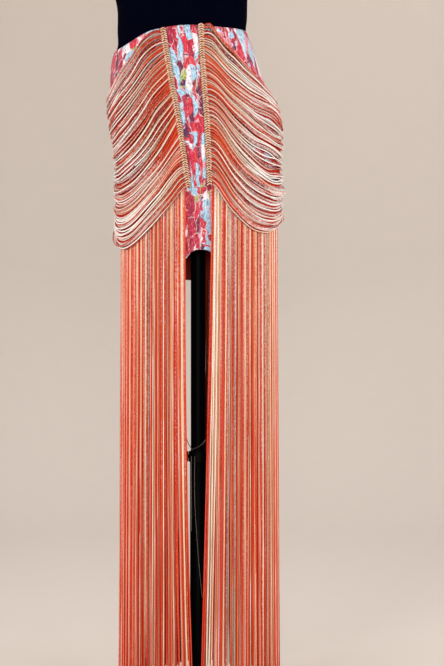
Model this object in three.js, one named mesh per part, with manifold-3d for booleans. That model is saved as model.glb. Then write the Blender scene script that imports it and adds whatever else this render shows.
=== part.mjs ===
// A printed mini skirt dressed with yarn swags and floor-length fringe, on a limbless
// dress form and its stand. Millimetres, +Z up, front towards -Y. The origin is on the
// floor, at the centre of the stand's base plate. Left and right are as seen from the front.

import * as THREE from "three";
import { mergeVertices } from "three/addons/utils/BufferGeometryUtils.js";
import Module from "manifold-3d";

const wasm = await Module();
wasm.setup();

// Driving sizes of the form on its stand
const LEAN = THREE.MathUtils.degToRad(6); // the form leans to the left on the pole
const SEAT_X = 5; // where the leaning axis meets the level of the fringe
const SEAT_Z = 1010;
const SEAT_DOWN = 306; // that level, measured down the form from the waist
const TORSO_SIDES = 36;
const POLE = { upperRadius: 14.5, lowerRadius: 16, wall: 1.6, fit: 0.4, sides: 24 };
const POLE_FOOT_Z = 300; // the upper tube's lower end, inside the lower tube
const POLE_HEAD_Z = 1090; // its upper end, in the torso's socket
const COLLAR = { radius: 18.6, low: 479.5, high: 500.5, lip: 6 };
const KNOB = { radius: 10.4, dimple: 1.3, lobes: 6, reach: 7.5, stem: 3, z: 490 };
const BASE = { radius: 225, edge: 2.5, thick: 5, hubRadius: 25, hubHeight: 36, sides: 48 };

// Driving sizes of the skirt
const CLOTH = 1.6; // its thickness
const CLOTH_OUT = 1.2; // the cloth's inside lies this far off the form
const OVER_CLOTH = 0.4; // what is sewn on keeps this gap to the cloth
const SEAM = 0.3; // between two pieces of cloth
const SIDE_SEAM = 90; // degrees round from the centre front
const HEM_TAPER = 2; // the cloth hangs this much narrower at the hem
const HEM_Z = { notch: 893, front: 877, back: 845 };
const WAIST_DIP = 14; // the waistline sits this much lower at the left side
const WAIST_RISE = 7; // and this much higher a little left of the centre front
const PLEATS = { count: 5, height: 3.2, hemHeight: 1.2 };
const SEAM_OFFSET = { top: 35, low: 19.5, hem: 24 }; // centre panel's half-widths

// Driving sizes of the yarn
const HEADING = { width: 9, thick: 3, top: -8, backTop: -3, end: 304, backOffset: 24 };
const SWAG = { count: 28, first: -1, last: 299, width: 4, thick: 2.2, steps: 12 };
const SWAG_OFF = { root: 3.7, cloth: 5.9, fringe: 8.9 };
const SWAG_BUNCH = -0.045; // steps of a swag lie this much closer towards its ends
const SWAG_FREE = 0.03; // the share of its way in which a swag leaves its heading
const SWAG_OVER_FRINGE = { from: 262, to: SEAT_DOWN }; // where it comes to lie on the fringe
// Where it stands off more and more, and by how much on each side
const SWAG_LOOSE = { from: 150, to: 330, left: 6, right: 3.5 };
const FRINGE = { count: 70, width: 3.9, thick: 2, top: 315, tip: 50, steps: 2 };
const FRINGE_BAND = { height: 9, thick: 2.5, steps: 26 };
const FRINGE_FRONT = { left: 25.5, right: 21.5 }; // from the middle to each curtain
const FRINGE_BACK = { left: 36, right: 4 }; // and at the back
const FRINGE_SWAY = { inward: 21, reach: 0.15, ripple: 1.6 }; // near a curtain's edge
const UNEVEN_TIP = 8; // how far a strand's tip may lie off the common level

// The form's level sections, from the neck down to its rounded lower edge. skew is how
// much wider than its mean the left half is, and how much narrower the right one.
const FORM = [
  { down: -452, wide: 40, skew: 0, front: 40, back: 42 },
  { down: -448, wide: 50, skew: 0, front: 50, back: 52 },
  { down: -405, wide: 58, skew: 0, front: 57, back: 62 },
  { down: -388, wide: 82, skew: 0, front: 63, back: 74 },
  { down: -364, wide: 126, skew: 0, front: 72, back: 87 },
  { down: -334, wide: 156, skew: 0, front: 84, back: 96 },
  { down: -290, wide: 165, skew: 0, front: 98, back: 103 },
  { down: -235, wide: 157, skew: 0, front: 116, back: 103 },
  { down: -180, wide: 148, skew: -2, front: 121, back: 99 },
  { down: -120, wide: 137, skew: -5, front: 107, back: 92 },
  { down: -77, wide: 130, skew: -4, front: 98, back: 89 },
  { down: -30, wide: 129.2, skew: 1.2, front: 93, back: 87 },
  { down: 0, wide: 128.2, skew: 5.2, front: 92, back: 88 },
  { down: 21, wide: 136, skew: 7, front: 94, back: 92 },
  { down: 48, wide: 142.5, skew: 8, front: 98, back: 100 },
  { down: 80, wide: 147.3, skew: 6.3, front: 102.5, back: 109 },
  { down: 118, wide: 154, skew: 3, front: 106.5, back: 118 },
  { down: 165, wide: 160, skew: -4, front: 109, back: 124.5 },
  { down: 228, wide: 156.2, skew: -4.3, front: 109, back: 124.5 },
  { down: SEAT_DOWN, wide: 147.5, skew: 2.5, front: 106, back: 117 },
  { down: 325, wide: 141.5, skew: 2.5, front: 101, back: 112 },
  { down: 334, wide: 130, skew: 2, front: 91, back: 101 },
];
const CLOTH_ROWS = FORM.filter((s) => s.down >= 0 && s.down <= SEAT_DOWN);
const HANGING_ROWS = 3; // rows of cloth below the seat, where it hangs free

// Shares of the way down the headings at which a side's swags are given
const SWAG_SHARES = [0, 0.15, 0.4, 0.6, 0.85, 1];
// How far those swags have dropped below their roots, on their way from the front
// heading (0) round to the back one (1)
const SWAG_WAY = [
  { way: 0, left: [0, 0, 0, 0, 0, 0], right: [0, 0, 0, 0, 0, 0] },
  { way: 0.03, left: [-3, 9, 15, 22, 5, 10], right: [-5, 11, 4, 6, 8, 13] },
  { way: 0.06, left: [-3, 18, 26, 40, 16, 26], right: [-5, 24, 16, 26, 30, 34] },
  { way: 0.09, left: [1, 28, 38, 56, 30, 40], right: [13, 41, 37, 50, 54, 53] },
  { way: 0.12, left: [9, 40, 54, 68, 44, 52], right: [30, 56, 52, 69, 71, 67] },
  { way: 0.16, left: [30, 56, 71, 82, 59, 68], right: [44, 70, 68, 87, 89, 83] },
  { way: 0.2, left: [46, 69, 84, 94, 74, 81], right: [62, 84, 82, 99, 101, 95] },
  { way: 0.25, left: [60, 82, 96, 105, 90, 95], right: [82, 94, 92, 110, 110, 102] },
  { way: 0.3, left: [77, 91, 104, 111, 99, 103], right: [99, 101, 99, 118, 114, 103] },
  { way: 0.35, left: [90, 99, 109, 114, 101, 105], right: [112, 108, 103, 121, 115, 99] },
  { way: 0.42, left: [100, 105, 111, 110, 95, 95], right: [122, 116, 107, 121, 109, 88] },
  { way: 0.5, left: [104, 106, 107, 100, 80, 72], right: [126, 120, 108, 115, 97, 72] },
  { way: 0.6, left: [96, 96, 94, 84, 58, 48], right: [116, 112, 100, 100, 80, 55] },
  { way: 0.72, left: [72, 72, 68, 58, 38, 32], right: [88, 86, 78, 74, 56, 40] },
  { way: 0.86, left: [36, 36, 34, 28, 18, 16], right: [44, 43, 40, 38, 28, 21] },
  { way: 1, left: [0, 0, 0, 0, 0, 0], right: [0, 0, 0, 0, 0, 0] },
];
const SIDES = { left: -1, right: 1 };

const MATERIALS = {
  print: { color: 0xd98a8f, roughness: 0.85, metalness: 0 },
  yarn: { color: 0xdc7a58, roughness: 0.75, metalness: 0 },
  jersey: { color: 0x0b0c10, roughness: 0.9, metalness: 0 },
  black_metal: { color: 0x101012, roughness: 0.45, metalness: 0.6 },
  black_plastic: { color: 0x141415, roughness: 0.5, metalness: 0 },
};

const { lerp, smoothstep, clamp, degToRad, radToDeg } = THREE.MathUtils;

// A side's drop for one of the shares, on a smooth curve through the table's rows.
function dropAt(side, share, way) {
  const last = SWAG_WAY.length - 1;
  const drop = (n) => SWAG_WAY[clamp(n, 0, last)][side][share];
  const at = (n) => SWAG_WAY[clamp(n, 0, last)].way;
  const slope = (n) => (drop(n + 1) - drop(n - 1)) / (at(n + 1) - at(n - 1));
  const i = clamp(SWAG_WAY.findIndex((row) => row.way >= way), 1, last);
  const span = at(i) - at(i - 1);
  const t = (way - at(i - 1)) / span;
  const rise = drop(i) - drop(i - 1);
  const bend = (1 - t) * (slope(i - 1) * span - rise) - t * (slope(i) * span - rise);
  return drop(i - 1) + rise * t + t * (1 - t) * bend;
}

// The body's half sizes at a height, level by level straight between the form's rows
function sectionAt(down) {
  const rows = FORM.slice(0, FORM.findIndex((s) => s.down === SEAT_DOWN) + 1);
  const below = rows.findIndex((s) => s.down >= down);
  if (below < 0) return rows[rows.length - 1];
  const [a, b] = [rows[Math.max(below - 1, 0)], rows[below]];
  const t = a === b ? 0 : (down - a.down) / (b.down - a.down);
  return {
    wide: lerp(a.wide, b.wide, t),
    skew: lerp(a.skew, b.skew, t),
    front: lerp(a.front, b.front, t),
    back: lerp(a.back, b.back, t),
  };
}

// A place on the form in its own upright frame: turn is in degrees round from the centre
// front, positive to +X, and out is the distance off the surface.
function level(section, turn, out) {
  const angle = degToRad(turn);
  const depth = Math.cos(angle) > 0 ? section.front : section.back;
  const wide = section.wide - Math.sign(Math.sin(angle)) * section.skew;
  const normal = new THREE.Vector2(
    Math.sin(angle) / wide,
    -Math.cos(angle) / depth,
  ).normalize();
  return new THREE.Vector2(
    wide * Math.sin(angle) + out * normal.x,
    -depth * Math.cos(angle) + out * normal.y,
  );
}

// Leans a point of the form's frame over the seat. What hangs below the seat keeps its
// distance under it but isn't leaned any further.
function lean({ x, y }, down, rigid = false) {
  const rise = SEAT_DOWN - down;
  const along = rigid || rise > 0 ? rise : 0;
  const under = rise - along;
  return new THREE.Vector3(
    SEAT_X + x * Math.cos(LEAN) - along * Math.sin(LEAN),
    y,
    SEAT_Z + x * Math.sin(LEAN) + along * Math.cos(LEAN) + under,
  );
}

const onForm = (down, turn, out) => lean(level(sectionAt(down), turn, out), down);

// The turn at which the form's surface is this far to one side of its middle
const turnAt = (down, offset) => radToDeg(Math.asin(offset / sectionAt(down).wide));

// Moves each vertex of a unit shape to where the rule puts it.
function bend(geometry, rule) {
  const position = geometry.getAttribute("position");
  for (let i = 0; i < position.count; i++) {
    const to = rule(position.getX(i), position.getY(i), position.getZ(i));
    position.setXYZ(i, to.x, to.y, to.z);
  }
  return joined(geometry);
}

// A geometry whose shared vertices are merged, so that it is one closed surface
function joined(geometry) {
  geometry.deleteAttribute("normal");
  geometry.deleteAttribute("uv");
  return mergeVertices(geometry, 1e-4);
}

function toSolid(geometry) {
  const merged = joined(geometry);
  return new wasm.Manifold(
    new wasm.Mesh({
      numProp: 3,
      vertProperties: new Float32Array(merged.getAttribute("position").array),
      triVerts: new Uint32Array(merged.index.array),
    }),
  );
}

function toGeometry(solid) {
  const { vertProperties, triVerts } = solid.getMesh();
  return new THREE.BufferGeometry()
    .setAttribute("position", new THREE.BufferAttribute(vertProperties, 3))
    .setIndex(new THREE.BufferAttribute(triVerts, 1));
}

// A wall of cloth or tape. pointAt(u, v, out) gives its points: u runs across from 0 to
// 1, v down from 0 to 1, and out from inner to outer.
function wall(columns, rows, inner, outer, pointAt) {
  const slab = new THREE.BoxGeometry(1, 1, 1, columns, rows, 1);
  return bend(slab, (x, y, z) => pointAt(x + 0.5, 0.5 - y, z > 0 ? outer : inner));
}

// A three-sided strand with its flat side inwards. At each share of its length, pathAt
// gives its middle, the way across it and the way out from the body.
function strand(steps, width, thick, pathAt) {
  const acrossScale = width / 2 / Math.sin(Math.PI / 3);
  const outScale = thick / 1.5;
  return bend(new THREE.CylinderGeometry(1, 1, 1, 3, steps), (x, y, z) => {
    const { at, across, out } = pathAt(0.5 - y);
    return at
      .clone()
      .addScaledVector(across, x * acrossScale)
      .addScaledVector(out, z * outScale);
  });
}

// A profile of [radius, height] rows turned about the Z axis
function turned(profile, sides) {
  const points = profile.map(([radius, z]) => new THREE.Vector2(radius, z));
  return new THREE.LatheGeometry(points, sides).rotateX(Math.PI / 2);
}

// A round tube between two heights
function tube(inner, outer, low, high, sides) {
  const profile = [[inner, low], [outer, low], [outer, high], [inner, high], [inner, low]];
  return turned(profile, sides);
}

// A round rod between two heights
const rod = (radius, low, high, sides) =>
  turned([[0, low], [radius, low], [radius, high], [0, high]], sides);

// The dress form, closed at the neck and below, with a socket for the pole
function torso() {
  const rings = FORM.length - 1;
  const skin = new THREE.CylinderGeometry(1, 1, 1, TORSO_SIDES, rings);
  const body = bend(skin, (x, y, z) => {
    const section = FORM[Math.round((0.5 - y) * rings)];
    const radius = Math.hypot(x, z);
    const point = level(section, radToDeg(Math.atan2(x, z)), 0).multiplyScalar(radius);
    return lean(point, section.down, true);
  });
  const socket = rod(POLE.upperRadius + POLE.fit, 0, POLE_HEAD_Z + POLE.fit, POLE.sides);
  return toGeometry(toSolid(body).subtract(toSolid(socket)));
}

// Rows of the cloth, from the waist to the seat and on down to the hem
const CLOTH_STEPS = CLOTH_ROWS.length - 1 + HANGING_ROWS;

// The hem's height, which falls from the front round to the back
function hemAt(turn) {
  const around = Math.abs(turn) / 180;
  return lerp(HEM_Z.front, HEM_Z.back, smoothstep(around, 0, 1));
}

// How far the waistline dips at a turn
function waistDip(turn) {
  const aside = Math.sin(degToRad(turn));
  const raised = Math.cos(degToRad(turn)) > 0 ? WAIST_RISE : 0;
  const risen = raised * (1 - smoothstep(Math.abs(aside + 0.2), 0.1, 0.9));
  return WAIST_DIP * smoothstep(-aside, 0.4, 0.97) - risen;
}

// A point of the cloth at a row: turnOf(down) gives its turn there, and hem its height
// at the lower edge.
function onCloth(row, turnOf, out, hem = null) {
  const seat = CLOTH_ROWS.length - 1;
  if (row <= seat) {
    const { down } = CLOTH_ROWS[row];
    const turn = turnOf(down);
    return onForm(row === 0 ? down + waistDip(turn) : down, turn, out);
  }
  const share = (row - seat) / HANGING_ROWS; // of the way from the seat to the hem
  const turn = turnOf(SEAT_DOWN + share);
  const top = onForm(SEAT_DOWN, turn, out - HEM_TAPER * share);
  top.z = lerp(top.z, hem ?? hemAt(turn), share);
  return top;
}

// Half of the centre panel's width at a height. From the seat to the hem, down grows by 1.
function centreHalf(down) {
  if (down <= SEAT_DOWN) return lerp(SEAM_OFFSET.top, SEAM_OFFSET.low, down / SEAT_DOWN);
  return lerp(SEAM_OFFSET.low, SEAM_OFFSET.hem, down - SEAT_DOWN);
}

const panelRow = (v) => Math.round(v * CLOTH_STEPS);
const clothWall = (columns, pointAt) =>
  wall(columns, CLOTH_STEPS, CLOTH_OUT, CLOTH_OUT + CLOTH, pointAt);

// A side's front panel, from the centre panel round to the side seam
function sidePanel(side) {
  const columns = 10;
  return clothWall(columns, (u, v, out) => {
    const across = side < 0 ? 1 - u : u;
    const turnOf = (down) => {
      const inner = turnAt(Math.min(down, SEAT_DOWN), centreHalf(down) + SEAM);
      const outer = SIDE_SEAM - turnAt(Math.min(down, SEAT_DOWN), SEAM / 2);
      return side * lerp(inner, outer, across);
    };
    return onCloth(panelRow(v), turnOf, out);
  });
}

// The back, in one piece from side seam to side seam
function backPanel() {
  const columns = 20;
  return clothWall(columns, (u, v, out) => {
    const gap = turnAt(0, SEAM / 2);
    const turn = lerp(SIDE_SEAM + gap, 360 - SIDE_SEAM - gap, u);
    return onCloth(panelRow(v), () => turn, out, hemAt(turn > 180 ? 360 - turn : turn));
  });
}

// The centre front, gathered into upright pleats between flat margins under the headings
function centrePanel() {
  const columns = PLEATS.count * 4 + 2;
  const margin = HEADING.width / 2 + 1;
  return clothWall(columns, (u, v, out) => {
    const row = panelRow(v);
    const pleated = clamp((u * columns - 1) / (columns - 2), 0, 1);
    const atEdge = u === 0 || u === 1 ? margin : 0;
    const offset = (down) =>
      (centreHalf(down) - margin) * Math.abs(pleated * 2 - 1) + atEdge;
    const side = pleated < 0.5 ? -1 : 1;
    const turnOf = (down) => side * turnAt(Math.min(down, SEAT_DOWN), offset(down));
    const wave = 0.5 - 0.5 * Math.cos(pleated * PLEATS.count * 2 * Math.PI);
    const height = row < CLOTH_ROWS.length ? PLEATS.height : PLEATS.hemHeight;
    const arch = lerp(HEM_Z.notch, HEM_Z.front, (pleated * 2 - 1) ** 2);
    return onCloth(row, turnOf, out + height * wave, arch);
  });
}

// A narrow upright tape on the cloth, at an offset from the middle of the front or back
function heading(side, offsetAt, back) {
  const rows = CLOTH_ROWS.slice(back ? 0 : 1, -1).map((row) => row.down);
  const downs = [back ? HEADING.backTop : HEADING.top, ...rows, HEADING.end];
  const inner = CLOTH_OUT + CLOTH + OVER_CLOTH;
  const steps = downs.length - 1;
  const flip = back ? -side : side;
  return wall(1, steps, inner, inner + HEADING.thick, (u, v, out) => {
    const down = downs[Math.round(v * steps)];
    const turn = turnAt(down, offsetAt(down) + (u - 0.5) * HEADING.width * flip);
    return onForm(down, side * (back ? 180 - turn : turn), out);
  });
}

// How far the headings lie from the middle, at the front and at the back
const frontOffset = (down) => centreHalf(clamp(down, 0, SEAT_DOWN));
const backOffset = () => HEADING.backOffset;

// The middle of a swag. share is its place down the heading, from 0 to 1, and way runs
// from the front heading round to the back one.
function swagPoint(name, share, way) {
  const root = lerp(SWAG.first, SWAG.last, share);
  const from = turnAt(root, frontOffset(root));
  const to = 180 - turnAt(root, HEADING.backOffset);
  const turn = lerp(from, to, way);
  const next = clamp(SWAG_SHARES.findIndex((s) => s >= share), 1, SWAG_SHARES.length - 1);
  const [above, below] = [SWAG_SHARES[next - 1], SWAG_SHARES[next]];
  const part = (share - above) / (below - above);
  const down = root + lerp(dropAt(name, next - 1, way), dropAt(name, next, way), part);
  const freed = smoothstep(Math.min(way, 1 - way), 0, SWAG_FREE);
  const low = smoothstep(down, SWAG_OVER_FRINGE.from, SWAG_OVER_FRINGE.to);
  const aside = Math.sin(degToRad(turn)) ** 2;
  const off =
    lerp(SWAG_OFF.root, lerp(SWAG_OFF.cloth, SWAG_OFF.fringe, low), freed) +
    SWAG_LOOSE[name] * aside * smoothstep(down, SWAG_LOOSE.from, SWAG_LOOSE.to);
  return onForm(down, SIDES[name] * turn, off + SWAG.thick / 3);
}

// One swag of yarn
function swag(name, share) {
  return strand(SWAG.steps, SWAG.width, SWAG.thick, (t) => {
    const way = t + SWAG_BUNCH * Math.sin(2 * Math.PI * t);
    const at = swagPoint(name, share, way);
    const step = 0.01;
    const ahead = swagPoint(name, share, Math.min(way + step, 1));
    const behind = swagPoint(name, share, Math.max(way - step, 0));
    const along = ahead.sub(behind).normalize();
    const middle = new THREE.Vector3(SEAT_X, 0, at.z);
    const out = at.clone().sub(middle).projectOnPlane(along).normalize();
    return { at, across: new THREE.Vector3().crossVectors(out, along), out };
  });
}

// A side's front and back headings with the swags that join them
function swags(name) {
  const side = SIDES[name];
  const pieces = [heading(side, frontOffset, false), heading(side, backOffset, true)];
  for (let i = 0; i < SWAG.count; i++) pieces.push(swag(name, i / (SWAG.count - 1)));
  return toGeometry(wasm.Manifold.union(pieces.map(toSolid)));
}

// A smooth, repeatable unevenness between -1 and 1
const uneven = (n) => Math.sin(n * 2.4) * 0.6 + Math.sin(n * 5.3 + 1) * 0.4;

// A side's curtain of fringe, hanging plumb from a tape sewn on under the swags
function fringe(name) {
  const side = SIDES[name];
  const first = turnAt(SEAT_DOWN, FRINGE_FRONT[name]);
  const last = 180 - turnAt(SEAT_DOWN, FRINGE_BACK[name]);
  const { height, thick, steps } = FRINGE_BAND;
  const inner = CLOTH_OUT + CLOTH + OVER_CLOTH;
  const onBand = (share, v, out) => {
    const turn = side * evenTurn(share, first, last);
    return onForm(FRINGE.top + v * height, turn, out);
  };
  const band = wall(steps, 1, inner, inner + thick, (u, v, out) =>
    onBand(side < 0 ? 1 - u : u, v, out),
  );
  const pieces = [band];
  for (let i = 0; i < FRINGE.count; i++) {
    const share = (i + 0.5) / FRINGE.count;
    const step = Math.floor(share * steps);
    const middle = inner + (thick - FRINGE.thick) / 2 + FRINGE.thick / 3;
    const behind = onBand(step / steps, 0.5, middle);
    const ahead = onBand((step + 1) / steps, 0.5, middle);
    const across = ahead.clone().sub(behind).setZ(0).normalize();
    const root = behind.lerp(ahead, share * steps - step);
    pieces.push(fringeStrand(side, share, i, root, across.multiplyScalar(side)));
  }
  return toGeometry(wasm.Manifold.union(pieces.map(toSolid)));
}

// The turn at a share of the way round the curtain, evenly spaced along the cloth: the
// ends of a flattened section take less turn for each millimetre than its sides
function evenTurn(share, first, last) {
  const squeeze = 4.5;
  return lerp(first, last, share) - squeeze * Math.sin(share * 2 * Math.PI);
}

// One strand of the fringe. Those at a curtain's edges sway in towards the middle.
function fringeStrand(side, share, index, root, across) {
  const out = new THREE.Vector3(across.y, -across.x, 0);
  const tip = FRINGE.tip + UNEVEN_TIP * uneven(index);
  const nearGap = Math.exp((Math.abs(share * 2 - 1) - 1) / FRINGE_SWAY.reach);
  return strand(FRINGE.steps, FRINGE.width, FRINGE.thick, (t) => {
    const at = root.clone();
    at.z = lerp(root.z, tip, t);
    at.x -= side * FRINGE_SWAY.inward * nearGap * t * t;
    at.addScaledVector(out, FRINGE_SWAY.ripple * (1 + Math.sin(index * 2 + t * 3)) * t);
    return { at, across, out };
  });
}

// The stand's round base, with a hub that holds the lower tube
function basePlate() {
  const { radius, edge, thick, hubRadius, hubHeight, sides } = BASE;
  const bore = POLE.lowerRadius + POLE.fit;
  return turned(
    [
      [0, 0],
      [radius - edge / 2, 0],
      [radius, edge / 2],
      [radius, thick - edge / 2],
      [radius - edge / 2, thick],
      [hubRadius + 10, thick + 2],
      [hubRadius, thick + 8],
      [hubRadius - 2, hubHeight],
      [bore, hubHeight],
      [bore, thick],
      [0, thick],
    ],
    sides,
  );
}

// The clamp's collar, over the lower tube's end and round the upper tube
function collar() {
  const inner = POLE.upperRadius + POLE.fit;
  const over = POLE.lowerRadius + POLE.fit;
  const seat = COLLAR.high - COLLAR.lip; // the lower tube's end stops under a lip
  const body = turned(
    [
      [over, COLLAR.low],
      [COLLAR.radius - 1, COLLAR.low],
      [COLLAR.radius, COLLAR.low + 1],
      [COLLAR.radius, COLLAR.high - 1],
      [COLLAR.radius - 1, COLLAR.high],
      [inner, COLLAR.high],
      [inner, seat],
      [over, seat],
      [over, COLLAR.low],
    ],
    POLE.sides,
  );
  const across = (g) => toSolid(g.rotateY(-Math.PI / 2).translate(0, 0, KNOB.z));
  const threaded = across(rod(KNOB.stem + POLE.fit, 0, COLLAR.radius + 2, 16));
  return toGeometry(toSolid(body).subtract(threaded));
}

// The clamp's knob: a lobed head on a stem that runs into the collar
function knob() {
  const outline = [];
  const corners = KNOB.lobes * 4;
  for (let i = 0; i < corners; i++) {
    const angle = (i / corners) * 2 * Math.PI;
    const radius = KNOB.radius - KNOB.dimple * (0.5 - 0.5 * Math.cos(angle * KNOB.lobes));
    outline.push(new THREE.Vector2(Math.cos(angle) * radius, Math.sin(angle) * radius));
  }
  const bevel = 1.2;
  const near = COLLAR.radius + POLE.fit;
  const head = new THREE.ExtrudeGeometry(new THREE.Shape(outline), {
    depth: KNOB.reach - 2 * bevel,
    bevelThickness: bevel,
    bevelSize: bevel,
    bevelOffset: -bevel,
    bevelSegments: 1,
  }).translate(0, 0, near + bevel);
  const stemEnd = POLE.lowerRadius + POLE.fit;
  const stem = rod(KNOB.stem, stemEnd, near + KNOB.reach / 2, 16);
  const whole = toSolid(head).add(toSolid(stem));
  return toGeometry(whole).rotateY(-Math.PI / 2).translate(0, 0, KNOB.z);
}

const skirtOnForm = new THREE.Group();

function add(name, finish, geometry) {
  const mesh = new THREE.Mesh(geometry, new THREE.MeshStandardMaterial(MATERIALS[finish]));
  mesh.name = name;
  skirtOnForm.add(mesh);
}

add("base_plate", "black_metal", basePlate());
add(
  "pole_lower",
  "black_metal",
  tube(
    POLE.upperRadius + POLE.fit,
    POLE.lowerRadius,
    BASE.thick + POLE.fit,
    COLLAR.high - COLLAR.lip - POLE.fit,
    POLE.sides,
  ),
);
add(
  "pole_upper",
  "black_metal",
  tube(POLE.upperRadius - POLE.wall, POLE.upperRadius, POLE_FOOT_Z, POLE_HEAD_Z, POLE.sides),
);
add("clamp_collar", "black_plastic", collar());
add("clamp_knob", "black_plastic", knob());
add("torso", "jersey", torso());
add("panel_centre_front", "print", centrePanel());
add("panel_back", "print", backPanel());
for (const name of Object.keys(SIDES)) {
  add("panel_front_" + name, "print", sidePanel(SIDES[name]));
  add("swags_" + name, "yarn", swags(name));
  add("fringe_" + name, "yarn", fringe(name));
}

export default skirtOnForm;
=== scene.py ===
import math

import bmesh
import bpy
import numpy as np
from bpy.props import FloatProperty, FloatVectorProperty, IntProperty, PointerProperty
from mathutils import Matrix, Vector


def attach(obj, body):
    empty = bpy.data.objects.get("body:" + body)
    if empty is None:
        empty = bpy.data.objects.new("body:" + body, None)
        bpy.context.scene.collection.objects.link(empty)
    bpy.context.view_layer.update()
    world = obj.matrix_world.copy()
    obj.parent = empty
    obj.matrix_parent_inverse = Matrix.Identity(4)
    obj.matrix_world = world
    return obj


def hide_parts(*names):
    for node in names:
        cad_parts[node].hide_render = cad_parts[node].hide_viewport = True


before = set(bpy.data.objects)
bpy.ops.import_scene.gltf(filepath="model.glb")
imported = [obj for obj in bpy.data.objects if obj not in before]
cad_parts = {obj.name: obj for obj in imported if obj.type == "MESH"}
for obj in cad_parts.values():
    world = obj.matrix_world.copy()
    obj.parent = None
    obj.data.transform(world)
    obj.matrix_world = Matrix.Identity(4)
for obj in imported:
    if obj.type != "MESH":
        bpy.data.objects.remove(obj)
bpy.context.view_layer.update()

bl_info = {
    "name": "Fringe skirt on a dress form",
    "version": (1, 0, 0),
    "blender": (4, 5, 0),
    "location": "View3D > Sidebar > Fringe skirt",
    "description": "Dresses the packed skirt and form with cloth, swags and fringe",
    "category": "Object",
}

# Sizes are in millimetres up to the last step, which turns them into metres.
MM = 0.001
CLAMP_Z, KNOB_IN, KNOB_RADIUS, KNOB_THICK = 490, 19.1, 10.4, 7.4
LEAN = math.radians(6)
SEAT_X, SEAT_Z, SEAT_DOWN = 5.0, 1010.0, 306.0

# The form's level sections, measured down from the waist. skew is how much wider than
# its mean the left half is, and how much narrower the right one.
FORM = {
    "down": (-452, -448, -405, -388, -364, -334, -290, -235, -180, -120, -77, -30,
             0, 21, 48, 80, 118, 165, 228, 306, 325, 334),
    "wide": (40, 50, 58, 82, 126, 156, 165, 157, 148, 137, 130, 129.2,
             128.2, 136, 142.5, 147.3, 154, 160, 156.2, 147.5, 141.5, 130),
    "skew": (0, 0, 0, 0, 0, 0, 0, 0, -2, -5, -4, 1.2,
             5.2, 7, 8, 6.3, 3, -4, -4.3, 2.5, 2.5, 2),
    "front": (40, 50, 57, 63, 72, 84, 98, 116, 121, 107, 98, 93,
              92, 94, 98, 102.5, 106.5, 109, 109, 106, 101, 91),
    "back": (42, 52, 62, 74, 87, 96, 103, 103, 99, 92, 89, 87,
             88, 92, 100, 109, 118, 124.5, 124.5, 117, 112, 101),
}

# The skirt's length, half of the centre panel's width, and the hem's heights
SKIRT_LONG = 440.0
SEAM_TOP, SEAM_LOW, SEAM_HEM = 35.0, 19.5, 24.0
HEM_NOTCH, HEM_FRONT, HEM_BACK = 893.0, 877.0, 845.0
WAIST_DIP, WAIST_RISE = 14.0, 7.0
CLOTH_OUT, CLOTH_WALL = 1.2, 1.4
PLEATS, PLEAT_DEEP = 5, 17.0

# How far a side's swags at these shares of the way down the headings have dropped below
# their roots, on their way from the front heading (0) round to the back one (1)
SWAG_SHARES = (0, 0.15, 0.4, 0.6, 0.85, 1)
SWAG_WAY = (0, 0.03, 0.06, 0.09, 0.12, 0.16, 0.2, 0.25, 0.3, 0.35, 0.42, 0.5, 0.6, 0.72,
            0.86, 1)
SWAG_DROP = {
    "left": ((0, -3, -3, 1, 9, 30, 46, 60, 77, 90, 100, 104, 96, 72, 36, 0),
             (0, 9, 18, 28, 40, 56, 69, 82, 91, 99, 105, 106, 96, 72, 36, 0),
             (0, 15, 26, 38, 54, 71, 84, 96, 104, 109, 111, 107, 94, 68, 34, 0),
             (0, 22, 40, 56, 68, 82, 94, 105, 111, 114, 110, 100, 84, 58, 28, 0),
             (0, 5, 16, 30, 44, 59, 74, 90, 99, 101, 95, 80, 58, 38, 18, 0),
             (0, 10, 26, 40, 52, 68, 81, 95, 103, 105, 95, 72, 48, 32, 16, 0)),
    "right": ((0, -5, -5, 13, 30, 44, 62, 82, 99, 112, 122, 126, 116, 88, 44, 0),
              (0, 11, 24, 41, 56, 70, 84, 94, 101, 108, 116, 120, 112, 86, 43, 0),
              (0, 4, 16, 37, 52, 68, 82, 92, 99, 103, 107, 108, 100, 78, 40, 0),
              (0, 6, 26, 50, 69, 87, 99, 110, 118, 121, 121, 115, 100, 74, 38, 0),
              (0, 8, 30, 54, 71, 89, 101, 110, 114, 115, 109, 97, 80, 56, 28, 0),
              (0, 13, 34, 53, 67, 83, 95, 102, 103, 99, 88, 72, 55, 40, 21, 0)),
}
SWAG_LOOSE = {"left": 6.0, "right": 3.5}
SWAG_FIRST, SWAG_RUN = -1.0, 300.0
UNDER_YARN = 1.8
SIDES = {"left": -1.0, "right": 1.0}
BACK_OFFSET = 24.0
HEADING_TOP, HEADING_BACK_TOP, HEADING_LOW = -7.5, -2.5, 303.5
HEADING_HALF, WRAP_YARN = 4.4, 1.2
FRINGE_FRONT = {"left": 25.5, "right": 23.5}
FRINGE_BACK = {"left": 36.0, "right": 4.0}
FRINGE_TOP, FRINGE_ROUND = 303.0, 140.0
FRINGE_LAYERS = (4.7, 7.4)
# How far the strands at a curtain's edges sway in, and how late on their way down
FRINGE_SWAY = {"left": (18.0, 2.6), "right": (21.5, 1.25)}

# Places where the swags part and the print shows through: side, share down the heading,
# way round to the back, how wide it opens, and how much of the heading it reaches
PARTINGS = (
    ("right", 0.30, 0.33, 0.034, 0.07),
    ("right", 0.22, 0.40, 0.014, 0.04),
    ("right", 0.515, 0.29, 0.023, 0.06),
    ("right", 0.60, 0.37, 0.012, 0.04),
    ("left", 0.53, 0.27, 0.014, 0.05),
    ("left", 0.61, 0.31, 0.010, 0.04),
)

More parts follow.
